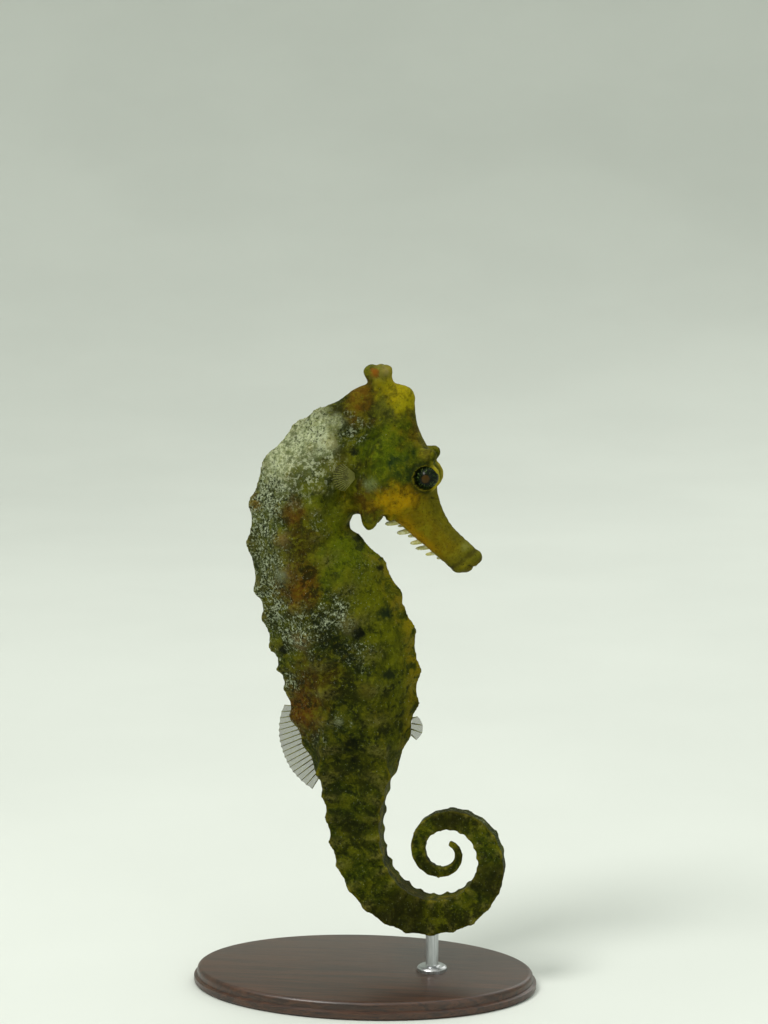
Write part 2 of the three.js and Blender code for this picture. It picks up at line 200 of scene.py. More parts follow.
def meshFrom(name, bm):
    mesh = bpy.data.meshes.new(name)
    bm.to_mesh(mesh)
    bm.free()
    return mesh


def piece(name, bm, finish, nodes=(), sharp=None):
    # a finished piece from a bmesh in millimetres, riding on the model's one body
    bmesh.ops.recalc_face_normals(bm, faces=bm.faces)
    bmesh.ops.scale(bm, vec=(0.001,) * 3, verts=bm.verts)
    mesh = meshFrom(name, bm)
    mesh.materials.append(finish)
    mesh.shade_smooth()
    if sharp:
        mesh.set_sharp_from_angle(angle=math.radians(sharp))
    made = addObject(name, mesh)
    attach(made, "root")
    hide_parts(*nodes)
    return made


trunk = {
    "firstRing": -2,
    "lastRing": 12,
    # x and z of the middle line, half depth and half width, at every second ring from the nape
    "stations": [
        (1.4, 102.4, 2.4, 1.8),
        (-2.9, 96.4, 6.8, 4.2),
        (-9.8, 88.6, 7.8, 5.0),
        (-10.6, 78.9, 9.1, 6.2),
        (-6.4, 69.1, 11.8, 7.6),
        (-2.7, 58.6, 12.1, 7.9),
        (-1.6, 48.1, 10.8, 7.0),
        (-1.3, 38.2, 7.5, 4.9),
        (-2.2, 29.5, 5.0, 4.1),
    ],
    # corners of a section from back to belly, as shares of half depth and half width
    "corners": [(0.95, 0), (1, 0.42), (0.36, 0.98), (-0.4, 0.88), (-1, 0)],
    "ridges": (0, 1, 1, 1, 0.7),
}
tail = {
    "rings": 34,
    "length": 82,
    "easing": 24,
    "bends": (13, 2),  # radius where the bend has set in, and at the tip
    "depths": (5.2, 0.6),
    "widths": (4.1, 0.6),
    "narrowing": 3.5,
    "ringTaper": 0.8,
    "corners": [(0.95, 0), (0.96, 0.46), (0.94, 0.94), (-0.94, 0.94), (-0.95, 0)],
    "ridges": (0, 0, 1, 1, 0),
    "setsIn": (9.5, 13),  # rings between which the trunk's section becomes the tail's
}
relief = {
    "hollow": 0.35,
    "ringSink": 0.32,
    "knob": 0.6,
    "tailKnob": 0.7,  # share of a knob's height that the tail keeps
    "uneven": 0.3,  # how much the knobs differ in height
    "slant": 0.28,  # how far the rings lean towards the head from back to belly
    "ridgeWidth": 0.26,
    "roundness": 0.6,
    "fullDepth": 11,  # half depth of a body whose relief is full
    "neck": (-1.5, 1),  # rings over which the relief sets in
    "bellyRidge": (4.9, 6.4),  # rings over which the belly's ridge sets in
    "upperRidge": (4, 6),  # rings over which the upper ridge drops
    "upperDrop": 0.45,
}


@cache
def trunkAt(ring):
    # middle, heading, half depth and half width of the neck or trunk
    def at(place):
        return through(trunk["stations"], (place - trunk["firstRing"]) / 2)

    x, z, depth, width = at(ring)
    ahead = at(ring + 0.01) - at(ring - 0.01)
    return x, z, math.atan2(ahead[1], ahead[0]), depth, width


def walkTail(steps=820):
    x, z, heading = trunkAt(trunk["lastRing"])[:3]
    step = tail["length"] / steps
    walk = [(x, z, heading)]
    for i in range(steps):
        s = (i + 0.5) * step
        past = max(0, (s - tail["easing"]) / (tail["length"] - tail["easing"]))
        turn = float(ease(0, tail["easing"], s)) / mix(*tail["bends"], past) * step
        x += math.cos(heading + turn / 2) * step
        z += math.sin(heading + turn / 2) * step
        heading += turn
        walk.append((x, z, heading))
    return walk


tailWalk = walkTail()


@cache
def bodyAt(ring):
    # the same, from the neck to the tip of the tail
    if ring < trunk["lastRing"]:
        return trunkAt(ring)
    m = min(1, (ring - trunk["lastRing"]) / tail["rings"])
    taper = tail["ringTaper"] / 2
    share = m * (1 - taper * m) / (1 - taper)
    rootDepth, rootWidth = trunkAt(trunk["lastRing"])[3:]
    flare = math.exp(-share * tail["length"] / tail["narrowing"])
    depth = mix(*tail["depths"], share) + (rootDepth - tail["depths"][0]) * flare
    width = mix(*tail["widths"], share) + (rootWidth - tail["widths"][0]) * flare
    return *tailWalk[round(share * (len(tailWalk) - 1))], depth, width


def bodyPoint(ring, turn, side=1):
    # a point of the skin, where turn runs from 0 at the back to 4 at the belly
    x, z, heading, depth, width = bodyAt(ring)
    toTail = float(ease(*tail["setsIn"], ring))
    k = min(int(turn), 3)
    f = turn - k
    corners = list(zip(trunk["corners"], tail["corners"]))[k:k + 2]
    near, far = ([mix(a, b, toTail) for a, b in zip(*pair)] for pair in corners)
    deep, wide = mix(near[0], far[0], f), mix(near[1], far[1], f)
    bow = relief["roundness"] * (1 - toTail) * math.sin(math.pi * f)
    swell = 1 + bow * (1 / math.hypot(deep, wide) - 1)
    nearest = round(turn)
    strength = mix(trunk["ridges"][nearest], tail["ridges"][nearest], toTail)
    if nearest == 4:
        strength *= float(ease(*relief["bellyRidge"], ring))
    if nearest == 1:
        strength *= 1 - relief["upperDrop"] * float(ease(*relief["upperRidge"], ring))
    leaning = ring + relief["slant"] * (1 - toTail) * turn / 4
    onRing = (0.5 + 0.5 * math.cos(2 * math.pi * leaning)) ** 2
    uneven = relief["uneven"] * math.sin(2.4 * round(leaning) + 1.7 * nearest)
    knob = relief["knob"] * (1 + uneven) * mix(1, relief["tailKnob"], toTail)
    ridge = strength * math.exp(-(((turn - nearest) / relief["ridgeWidth"]) ** 2))
    size = min(1, (depth / relief["fullDepth"]) ** 0.7) * float(ease(*relief["neck"], ring))
    rise = knob * onRing * ridge - relief["hollow"] * (1 - ridge) - relief["ringSink"] * (1 - onRing)
    across = (depth + rise * size) * deep * swell
    outwards = (width + rise * size) * wide * swell
    return Vector((x + math.sin(heading) * across, outwards * side, z - math.cos(heading) * across))


def onCircle(u):
    # the point at u, from 0 to 1, round a circle of radius 1
    return math.cos(2 * math.pi * u), math.sin(2 * math.pi * u)


def tube(bm, around, along, place):
    # adds a closed tube; place(v, u) is the point at v along it and u round it, both 0 to 1
    made = bmesh.ops.create_grid(bm, x_segments=around, y_segments=along, size=1)["verts"]
    for v in made:
        v.co = place((v.co.y + 1) / 2, (v.co.x + 1) / 2)
    bmesh.ops.remove_doubles(bm, verts=made, dist=1e-4)
    rims = [e for e in bm.edges if e.is_boundary]
    bmesh.ops.holes_fill(bm, edges=rims, sides=0)


def bodyTube(bm):
    last = trunk["lastRing"] + tail["rings"]

    def place(v, u):
        turn = u * 8
        ring = round(mix(trunk["firstRing"], last, v), 6)
        return bodyPoint(ring, min(turn, 8 - turn), 1 if turn <= 4 else -1)

    tube(bm, 80, 12 * (last - trunk["firstRing"]), place)


head = {
    "origin": (-2.4, 99.3),  # x and z at the nape
    "along": (0.616, -0.788),  # the way from the nape to the mouth
    # s along that way, the profile's lower and upper edge across it, and half the width
    "stations": [
        (-3.5, 0.3, 4.0, 1.4),
        (-2.7, -1.6, 6.2, 2.4),
        (-1.0, -4.0, 8.8, 3.1),
        (1.0, -5.5, 10.8, 3.4),
        (2.8, -6.2, 11.2, 3.6),
        (4.9, -7.0, 10.3, 3.9),
        (7.8, -7.8, 8.6, 4.5),
        (10.8, -8.7, 7.9, 5.0),
        (13.5, -8.8, 7.4, 5.1),
        (15.5, -6.9, 6.9, 4.6),
        (17.3, -4.8, 6.1, 3.8),
        (19.2, -4.3, 4.2, 3.0),
        (21.0, -4.0, 3.4, 2.5),
        (23.6, -3.4, 2.8, 2.2),
        (26.0, -2.8, 2.7, 2.15),
        (28.4, -2.3, 3.2, 2.3),
        (30.6, -1.9, 3.6, 2.5),
        (31.9, -1.3, 3.8, 2.4),
        (32.8, 0.1, 3.2, 1.5),
    ],
    "egg": 0.3,  # how much wider the head is low down than high up
}
orbit = {"s": 15.5, "h": 4.35, "y": 2.1, "radius": 2.72, "flat": 0.9}
# lobes of the head: root, the way each points, radius at the foot and at the tip, length
lobes = {
    "brow": ((12.9, 5.9, 2.1), (0.2, 1, 0.25), 1.5, 1.1, 2.9),
    "cheek": ((14.4, -6.2, 3.0), (0.75, -0.66, 0.25), 1.7, 0.8, 3.5),
    "smallCheek": ((17.3, -3.9, 2.2), (0.1, -0.9, 0.2), 0.8, 0.4, 1.3),
}
# flesh that fills the corner between neck and cheek: x and z, and three radii
throat = {"upper": ((-2.0, 85.0), (2.1, 3.0, 2.1)), "lower": ((-4.1, 82.9), (2.1, 3.2, 2.4))}
forehead = {"s": 2.7, "h": 9.3, "radius": 2.2, "flat": 0.8}
coronet = {
    "root": (3.6, 102.6),
    "top": (2.4, 107.4),
    "stalk": 2.0,
    "spread": 1.45,
    "knobs": 5,
    "knobRadius": 1.2,
}


def headPoint(s, h, y=0):
    (x0, z0), (dx, dz) = head["origin"], head["along"]
    return Vector((x0 + dx * s - dz * h, y, z0 + dz * s + dx * h))


def headWay(s, h, y):
    return (headPoint(s, h, y) - headPoint(0, 0, 0)).normalized()


def headTube(bm):
    def place(v, u):
        s, low, high, width = through(head["stations"], v * (len(head["stations"]) - 1))
        up, out = onCircle(u)
        h = (low + high) / 2 + up * (high - low) / 2
        return headPoint(s, h, out * (1 - head["egg"] * up) * width)

    tube(bm, 56, 110, place)


def pointTo(bm, verts, way):
    # turns verts about the origin, so that their Z lies along the way given
    bmesh.ops.rotate(bm, cent=(0, 0, 0), matrix=way.to_track_quat("Z", "Y").to_matrix(), verts=verts)


def ball(bm, centre, radii, way=Vector((0, 0, 1)), around=20, along=14):
    # an egg of three radii, the last of them along the way given
    made = bmesh.ops.create_uvsphere(bm, u_segments=around, v_segments=along, radius=1)["verts"]
    bmesh.ops.scale(bm, vec=radii, verts=made)
    pointTo(bm, made, way)
    bmesh.ops.translate(bm, vec=centre, verts=made)


def coronetSolid(bm):
    (x0, z0), (x1, z1) = coronet["root"], coronet["top"]
    root, top = Vector((x0, 0, z0)), Vector((x1, 0, z1))
    stalk = coronet["stalk"]

    def place(v, u):
        middle = root + (top - root) * v
        radius = stalk * (1.2 - 0.14 * math.sin(math.pi * v))
        return middle + Vector((*onCircle(u), 0)) * radius

    tube(bm, 24, 12, place)
    for i in range(coronet["knobs"]):
        knob = top + Vector((*onCircle(i / coronet["knobs"]), 0)) * coronet["spread"]
        ball(bm, knob, (coronet["knobRadius"],) * 3, around=16, along=10)


skin = {
    "voxel": 0.3,
    "smoothing": 2,
    # creases that are smoothed further: x and z, radius and passes
    "joins": {
        "nape": ((-1.0, 95.0), 7.5, 14),
        "underEye": ((8.6, 88.8), 2.6, 5),
        "besideCoronet": ((5.6, 105.6), 1.3, 4),
        "throat": ((-2.6, 84.4), 3.0, 6),
    },
    "eye": {"s": 15.75, "h": 4.85, "y": 2.65, "radius": 2.05, "bulge": 0.12, "sunk": 0.1},
    # the lid's radius is where it meets the eye, seen from the side
    "lid": {"radius": 1.9, "rise": 0.22, "width": 0.32, "reach": 1.4, "socket": 0.5, "gap": 0.12},
    "betweenEyes": 0.6,
    "gillCover": {"x": 5.2, "z": 91.8, "length": 4.3, "height": 6.3, "rise": 0.6},
    "gillSlit": {"depth": 0.5, "width": 0.16},
    "gillFan": {"rise": 0.02, "folds": 26},
    # the ridge over the eye: h and y at the eye and at the coronet
    "browRidge": {"rise": 0.3, "h": (6.6, 9.4), "y": (2.3, 1.6), "width": 0.7},
    "snout": {"ridge": 0.16, "h": (0.8, 1.1), "folds": 0.02, "apart": 1.05},
    "nostril": {"s": 19.2, "h": 3.3, "radius": 0.4, "depth": 0.3},
    "mouth": {"s": 32.9, "h": 1.5, "slit": 0.3, "lip": 31.4, "lipRise": 0.1, "crease": 0.08},
    "blotRise": 0.3,
    "grain": {0.35: 0.13, 1.3: 0.07},  # how many swellings to a millimetre, and how far they rise
}


def dropSpecks(bm, smallest=100):
    # takes away the loose specks that the remesh leaves
    left, specks = set(bm.verts), []
    while left:
        edge = {left.pop()}
        shell = set(edge)
        while edge:
            edge = {e.other_vert(v) for v in edge for e in v.link_edges} & left
            left -= edge
            shell |= edge
        if len(shell) < smallest:
            specks += shell
    bmesh.ops.delete(bm, geom=specks, context="VERTS")


def smooth(bm, verts, passes):
    axes = {"use_axis_x": True, "use_axis_y": True, "use_axis_z": True}
    for _ in range(passes):
        bmesh.ops.smooth_vert(bm, verts=verts, factor=0.5, **axes)


def skinBlank():
    # every form of the animal, joined as one closed surface of even faces
    bm = bmesh.new()
    bodyTube(bm)
    headTube(bm)
    coronetSolid(bm)
    radii = [forehead["radius"] * k for k in (1, forehead["flat"], 1)]
    ball(bm, headPoint(forehead["s"], forehead["h"]), radii)
    for side in (-1, 1):
        radii = [orbit["radius"] * k for k in (1, orbit["flat"], 1)]
        ball(bm, headPoint(orbit["s"], orbit["h"], side * orbit["y"]), radii, around=32, along=24)
        for (s, h, y), (ds, dh, dy), radius, tip, length in lobes.values():
            root, way = headPoint(s, h, side * y), headWay(ds, dh, side * dy)
            ball(bm, root, (radius, radius, length), way)
            ball(bm, root + way * (length - tip), (tip,) * 3)
    for (x, z), radii in throat.values():
        ball(bm, Vector((x, 0, z)), radii)
    bmesh.ops.recalc_face_normals(bm, faces=bm.faces)
    blank = addObject("blank", meshFrom("blank", bm))
    remesh = blank.modifiers.new("even", "REMESH")
    remesh.mode = "VOXEL"
    remesh.voxel_size = skin["voxel"]
    shaped = bmesh.new()
    shaped.from_object(blank, bpy.context.evaluated_depsgraph_get())
    bpy.data.objects.remove(blank)
    dropSpecks(shaped)
    return shaped


def reading(co):
    # what each point of the skin is near: ring, place on the head, and masks from 0 to 1
    rings = np.arange(trunk["firstRing"], trunk["lastRing"] + tail["rings"] + 0.01, 0.1).round(6)
    line = np.array([bodyAt(float(r)) for r in rings])
    nearest = np.empty(len(co), int)
    batch = 4096
    for start in range(0, len(co), batch):
        span = co[start:start + batch]
        gap = np.hypot(span[:, None, 0] - line[None, :, 0], span[:, None, 2] - line[None, :, 1])
        nearest[start:start + batch] = (gap / (line[None, :, 3] + 1)).argmin(1)
    x, z, heading, depth, width = line[nearest].T
    ring = rings[nearest] + 0.0
    dx, dz = co[:, 0] - x, co[:, 2] - z
    step = np.hypot(np.gradient(line[:, 0]), np.gradient(line[:, 1]))[nearest] / 0.1
    ring += np.clip((dx * np.cos(heading) + dz * np.sin(heading)) / step, -0.1, 0.1)
    across = (dx * np.sin(heading) - dz * np.cos(heading)) / depth
    angle = np.degrees(np.arctan2(np.abs(co[:, 1]) / width, across))
    toTail = ease(*tail["setsIn"], ring)

    def turns(corners):
        return np.interp(angle, [math.degrees(math.atan2(b, a)) for a, b in corners], range(5))

    turn = mix(turns(trunk["corners"]), turns(tail["corners"]), toTail)
    (x0, z0), (ax, az) = head["origin"], head["along"]
    s = ax * (co[:, 0] - x0) + az * (co[:, 2] - z0)
    h = -az * (co[:, 0] - x0) + ax * (co[:, 2] - z0)
    steps = np.linspace(0, len(head["stations"]) - 1, 200)
    table = np.array([through(head["stations"], t) for t in steps])
    low, high = (np.interp(s, table[:, 0], table[:, k]) for k in (1, 2))
    aboveChest = ease(81.6, 82.8, co[:, 2] + 0.35 * np.maximum(co[:, 0], 0))
    inHead = ease(-3.6, -0.6, co[:, 0]) * aboveChest
    inHead = np.maximum(inHead, ease(17, 18, s) * (h > -6.5) * (s < 40))
    flank = mix(turn / 4, 1 - (h - low) / (high - low), inHead)
    k = np.round(turn).astype(int)
    ridges = mix(np.array(trunk["ridges"])[k], np.array(tail["ridges"])[k], toTail)
    return {
        "ring": ring,
        "s": s,
        "h": h,
        "head": inHead,
        "flank": np.clip(flank, 0, 1),
        "ridge": ridges * bell(turn - k, 0.22) * (1 - inHead) * ease(*relief["neck"], ring),
        "band": (0.5 + 0.5 * np.cos(2 * np.pi * ring)) ** 3 * (1 - inHead) * ease(-1.5, 0.5, ring),
    }


def shapeEyeSockets(co, at):
    # a socket that the eye fills, inside a raised lid
    eye, lid = skin["eye"], skin["lid"]
    r = np.hypot(at["s"] - eye["s"], at["h"] - eye["h"])
    side = np.sign(co[:, 1])
    edge, inside = lid["radius"], lid["radius"] + lid["gap"]
    eyeball = eye["y"] + np.sqrt(np.maximum(eye["radius"] ** 2 - np.minimum(r, edge) ** 2, 0))
    socket = eyeball - lid["socket"] * ease(inside, edge - 0.3, r)
    y = np.abs(co[:, 1])
    raised = y + lid["rise"] * bell(r - edge - 0.3, lid["width"])
    sunk = np.where(r < inside, np.minimum(raised, socket), raised)
    y = np.where((y > 1.5) & (r < edge + lid["reach"]), sunk, y)
    co[:, 1] = y * np.where(side == 0, 1, side)


def rises(co, at):
    # how far the skin stands out, in millimetres, for the folds and edges of the head
    x, y, z = co[:, 0], np.abs(co[:, 1]), co[:, 2]
    s, h = at["s"], at["h"]
    gill, slit, fan = skin["gillCover"], skin["gillSlit"], skin["gillFan"]
    ridge, snout, nostril, mouth = (skin[k] for k in ("browRidge", "snout", "nostril", "mouth"))
    egg = np.hypot((x - gill["x"]) / gill["length"], (z - gill["z"]) / gill["height"])
    outside = ease(1.2, 2.4, y)
    rise = gill["rise"] * ease(1.1, 0.55, egg) * outside
    rear = ease(gill["x"] - 0.5, gill["x"] - 2.2, x) * ease(gill["z"] + 7.5, gill["z"] + 4.5, z)
    rise -= slit["depth"] * bell(egg - 1.0, slit["width"]) * rear * outside
    folds = np.cos(fan["folds"] * np.arctan2(z - gill["z"] - 4.5, x - gill["x"] - 1.5))
    rise += fan["rise"] * folds * ease(1.0, 0.6, egg) * ease(0.15, 0.4, egg) * outside
    # ridge from over the eye to the coronet, on both sides
    t = np.clip((12 - s) / 9, 0, 1)
    crest = bell(h - mix(*ridge["h"], t), ridge["width"]) * bell(y - mix(*ridge["y"], t), 0.9)
    rise += ridge["rise"] * crest * ease(2.2, 3.6, s) * ease(13.4, 12, s)
    # hollow between the eyes
    hollow = ease(13.2, 14.6, s) * ease(19.5, 17.5, s) * ease(2.5, 4.0, h)
    rise -= skin["betweenEyes"] * bell(y, 1.0) * hollow
    # ridge along each side of the snout, and its fine cross folds
    onSnout = ease(18, 21, s)
    crest = bell(h - mix(*snout["h"], ease(20, 31, s)), 0.5)
    rise += snout["ridge"] * crest * onSnout * ease(31, 29, s) * ease(1, 1.8, y)
    folds = np.sin(2 * np.pi * s / snout["apart"] + 0.8 * np.sin(h * 1.7))
    rise += snout["folds"] * folds * onSnout * ease(30.5, 29, s)
    pit = bell(np.hypot(s - nostril["s"], h - nostril["h"]), nostril["radius"])
    rise -= nostril["depth"] * pit * (y > 0.8)
    # lip round the tip, with a crease behind it, and the slit of the mouth
    rise += mouth["lipRise"] * bell(s - mouth["lip"], 0.45)
    rise -= mouth["crease"] * bell(s - mouth["lip"] + 0.95, 0.3)
    opening = bell(h - mouth["h"] - 0.2 * (s - mouth["s"]), 0.3) * ease(31.5, 32.1, s)
    return rise - mouth["slit"] * opening


def shapeSkin():
    bm = skinBlank()
    verts = list(bm.verts)
    smooth(bm, verts, skin["smoothing"])
    for (x, z), radius, passes in skin["joins"].values():
        near = [v for v in verts if math.hypot(v.co.x - x, v.co.z - z) < radius]
        smooth(bm, near, passes)
    bm.normal_update()
    co = np.array([v.co for v in verts])
    normal = np.array([v.normal for v in verts])
    at = reading(co)
    rise = rises(co, at)
    for often, far in skin["grain"].items():
        swell = np.array([noise.noise(v.co * often) for v in verts])
        rise += far * swell * ease(0.8, 3, bodyDepth(at["ring"]))
    for (x, z), radius, _ in blotches.values():
        away = np.hypot(co[:, 0] + markShift[0] - x, co[:, 2] + markShift[1] - z)
        rise += skin["blotRise"] * bell(away, radius * 0.9) * ease(0.5, 2, np.abs(co[:, 1]))
    at |= markings(co, at)
    co += normal * rise[:, None]
    shapeEyeSockets(co, at)
    for v, place in zip(verts, co):
        v.co = place
    pits = np.zeros(len(verts))
    bm.normal_update()
    for i, v in enumerate(verts):
        around = sum((e.other_vert(v).co for e in v.link_edges), Vector()) / len(v.link_edges)
        pits[i] = (around - v.co).dot(v.normal)
    # how far each point lies sunk below its neighbours: the paint lays pale colour on bumps and
    # painted shade in hollows
    at["pit"] = np.clip(pits / (0.25 * skin["voxel"]), -1, 1)
    finish = material("olive_mottled_skin", skinPaint)
    made = piece("seahorse_skin", bm, finish, skinNodes)
    del at["h"]  # only the shapes read it
    for name, values in at.items():
        kind, field = ("FLOAT_VECTOR", "vector") if name.endswith("Shade") else ("FLOAT", "value")
        layer = made.data.attributes.new(name, kind, "POINT")
        layer.data.foreach_set(field, np.asarray(values, np.float32).ravel())
    return made


def bodyDepth(ring):
    steps = np.arange(trunk["firstRing"], trunk["lastRing"] + tail["rings"] + 1)
    return np.interp(ring, steps, [bodyAt(float(r))[3] for r in steps])


skinNodes = ["head", "neck", "snout", "mouth", "coronet", "trunk"]
skinNodes += [f"tail_{length}" for length in ("root", "sweep", "rise", "curl", "tip")]

# markings of the skin by where they lie: x and z, radius, colour and how much it shows
marks = {
    "body": {
        "hazeOfNape": ((-9.8, 95.8), 5.0, (158, 166, 126), 0.85),
        "hazeOfBack": ((-15.2, 91.6), 4.2, (154, 162, 122), 0.85),
        "greyOfBack": ((-17.4, 84.6), 4.4, (100, 108, 68), 0.7),
        "greyOfLowBack": ((-17.6, 74.0), 5.0, (84, 90, 54), 0.65),
        "rustOfBack": ((-19.0, 84.4), 1.4, (118, 84, 14), 0.7),
        "duskOfNeck": ((-7.4, 88.4), 4.0, (86, 90, 24), 0.75),
        "oliveOfNeck": ((-6.8, 84.4), 3.4, (76, 82, 12), 0.7),
        "brownOfNeck": ((-2.8, 90.4), 3.0, (72, 64, 9), 0.65),
        "rustOfShoulder": ((-12.4, 82.9), 2.6, (88, 58, 12), 0.8),
        "umberOfChest": ((-9.6, 77.4), 3.4, (46, 32, 5), 0.85),
        "rustOfTrunk": ((-11.2, 70.6), 4.2, (84, 52, 7), 0.88),
        "umberOfTrunk": ((-8.4, 53.6), 5.2, (64, 41, 5), 0.88),
        "rustOfRump": ((-11.2, 48.4), 4.0, (104, 58, 8), 0.9),
        "greenOfBreast": ((-2.4, 76.6), 4.8, (76, 88, 5), 0.85),
        "yellowOfChest": ((0.8, 70.8), 4.0, (82, 86, 5), 0.75),
        "yellowOfBelly": ((4.0, 61.0), 3.6, (78, 82, 4), 0.7),
        "darkOfTrunk": ((-6.4, 63.2), 4.2, (10, 16, 5), 0.92),
        "darkOfFlank": ((-3.2, 59.8), 3.6, (10, 16, 5), 0.9),
        "darkOfLoin": ((-2.4, 52.4), 4.6, (28, 30, 5), 0.8),
        "oliveOfRump": ((3.0, 48.0), 4.2, (72, 70, 5), 0.75),
        "brownOfVent": ((-4.6, 41.6), 5.0, (34, 31, 5), 0.75),
        "oliveOfVent": ((1.6, 40.0), 3.2, (60, 58, 6), 0.6),
    },
    "head": {
        "brownOfNape": ((-1.8, 102.6), 3.0, (98, 70, 7), 0.9),
        "brownBehindCrown": ((-3.6, 99.6), 3.2, (84, 58, 8), 0.9),
        "yellowOfCrown": ((4.5, 104.4), 2.9, (148, 134, 8), 1.0),
        "yellowOfForehead": ((7.0, 102.0), 2.4, (144, 134, 8), 0.92),
        "duskOfForehead": ((3.8, 100.0), 2.2, (82, 82, 24), 0.75),
        "greenOfCheek": ((4.2, 93.2), 4.8, (72, 86, 4), 0.9),
        "darkOfCheek": ((6.3, 91.9), 1.9, (16, 36, 14), 0.95),
        "orangeBeforeEye": ((8.0, 96.8), 1.9, (112, 90, 6), 0.7),
        "oliveOverEye": ((10.4, 94.8), 2.2, (104, 96, 22), 0.7),
        "brownOfGill": ((-0.6, 85.2), 2.6, (74, 54, 5), 0.85),
        "brownOfCheekSpine": ((1.0, 83.6), 1.8, (60, 44, 5), 0.75),
        "oliveOfCheekSpine": ((1.6, 80.8), 1.3, (104, 102, 20), 0.8),
        "orangeOfThroat": ((5.8, 84.8), 3.4, (166, 130, 4), 0.95),
        "orangeUnderEye": ((9.2, 83.4), 2.6, (132, 102, 4), 0.8),
        "oliveOfCoronet": ((2.8, 106.8), 2.6, (112, 106, 44), 0.8),
    },
}
# pale blots, which stand out a little: x and z, radius, colour
blotches = {
    "nape": ((-6.0, 95.0), 1.3, (176, 172, 120)),
    "byGill": ((1.2, 87.9), 1.2, (118, 130, 76)),
    "shoulder": ((-13.8, 78.6), 1.3, (118, 98, 54)),
    "flank": ((-14.0, 72.4), 1.2, (100, 112, 88)),
    "trunk": ((-10.7, 61.0), 1.6, (124, 106, 68)),
    "midTrunk": ((-2.4, 64.3), 1.5, (108, 104, 58)),
    "loin": ((0.6, 53.0), 1.3, (84, 78, 20)),
    "rump": ((-4.0, 47.4), 0.7, (124, 130, 96)),
    "coronet": ((3.2, 106.8), 0.6, (146, 132, 72)),
    "snout": ((16.8, 77.1), 0.7, (122, 124, 56)),
}
# small spots, most of them dark: x and z, radius, colour
spots = {
    "behindGill": ((-1.7, 93.3), 0.7, (8, 14, 6)),
    "neck": ((-2.9, 80.2), 0.7, (18, 26, 6)),
    "underNeck": ((-1.4, 78.4), 0.6, (22, 26, 6)),
    "chest": ((2.3, 73.2), 0.5, (14, 16, 5)),
    "trunk": ((-0.4, 62.8), 1.1, (4, 9, 5)),
    "back": ((-14.1, 58.9), 0.9, (10, 14, 6)),
    "breast": ((3.3, 65.8), 1.1, (14, 28, 16)),
    "belly": ((4.3, 55.5), 1.0, (16, 24, 12)),
    "rump": ((-2.3, 43.7), 1.3, (8, 12, 5)),
    "underRump": ((-1.6, 40.6), 0.8, (10, 14, 5)),
    "coronet": ((1.4, 106.6), 0.8, (122, 68, 12)),
    "overMouth": ((17.4, 79.3), 0.7, (56, 58, 14)),
    "underMouth": ((17.5, 75.9), 0.6, (64, 60, 12)),
}
# where pale grains lie thick: x and z, radius, how thick
drifts = [
    ((-1.4, 97.0), 2.6, 0.9),
    ((-8.4, 96.8), 3.2, 0.8),
    ((-15.4, 87.2), 3.4, 1.1),
    ((-17.2, 81.6), 4.0, 1.1),
    ((-4.2, 90.0), 2.4, 0.35),
    ((1.4, 87.8), 1.8, 0.45),
    ((-8.1, 80.3), 1.8, 0.6),
    ((-16.4, 73.8), 4.6, 0.9),
    ((-16.0, 66.8), 4.0, 0.9),
    ((-4.8, 66.0), 3.8, 0.85),
    ((-0.8, 59.6), 2.6, 0.7),
    ((-11.4, 62.6), 4.6, 0.95),
    ((-0.8, 72.8), 2.6, 0.3),
    ((-13.0, 53.6), 2.6, 0.8),
    ((-8.2, 44.6), 1.6, 0.6),
    ((-4.0, 47.0), 1.8, 0.5),
]
markShift = (-0.7, -0.8)  # the flanks carry the markings a little forward and up


def wander(co, often, octaves, shift=0):
    # noise at the points, spread about 0
    apart = Vector((shift, 0, 0))
    swing = np.array([noise.turbulence(Vector(p) * often + apart, octaves, False) for p in co])
    return (swing - swing.mean()) / swing.std()


def nearestOf(table, reach, x, z):
    # how deep each point lies in the nearest mark, and that mark's colour
    rows = table.values()
    deep = np.array([1 - np.hypot(x - a, z - b) / (radius * reach) for (a, b), radius, _ in rows])
    shades = np.array([tint(*shade)[:3] for _, _, shade in rows])
    return deep.max(0), shades[deep.argmax(0)]


def markings(co, at):
    # layers that the skin is painted from
    edge = 0.5 + 0.14 * wander(co, 1.5, 2)
    x, z = co[:, 0] + markShift[0], co[:, 2] + markShift[1]
    farX = x + 0.65 * wander(co, 0.45, 4)
    farZ = z + 0.65 * wander(co, 0.45, 4, shift=60)
    inHead, flank = at["head"], at["flank"]
    onSnout = ease(17, 20, at["s"]) * inHead
    colour, cover = np.zeros((len(co), 3)), np.zeros(len(co))
    for part, lies in (("body", 1 - inHead), ("head", inHead * (1 - 0.7 * onSnout))):
        for (a, b), radius, shade, strength in marks[part].values():
            away = np.hypot(farX - a, farZ - b) + edge * radius * 0.5
            mask = ease(radius * 1.8, radius * 0.35, away) * lies * strength
            colour += (np.array(tint(*shade)[:3]) - colour) * mask[:, None]
            cover += (1 - cover) * mask
    drift = 0.5 * ease(0.45, 0.05, flank) * (1 - inHead)
    for (a, b), radius, thick in drifts:
        drift += thick * ease(radius * 1.5, radius * 0.1, np.hypot(farX - a, farZ - b))
    blot, blotShade = nearestOf(blotches, 1.7, x, z)
    spot, spotShade = nearestOf(spots, 1.5, x, z)
    return {
        "cover": cover,
        "coverShade": colour / np.maximum(cover, 0.001)[:, None],
        "blot": blot,
        "blotShade": blotShade,
        "spot": spot,
        "spotShade": spotShade,
        "drift": drift,
        "haze": ease(10, 5.5, np.hypot(farX + 12.5, farZ - 93.6)) * (1 - inHead),
    }


def fromEye(place):
    # the way from the middle of the eye, seen from the side
    eye = headPoint(skin["eye"]["s"], skin["eye"]["h"])
    return place.vector("MULTIPLY", (1, 0, 1)).vector("SUBTRACT", (eye.x, 0, eye.z))


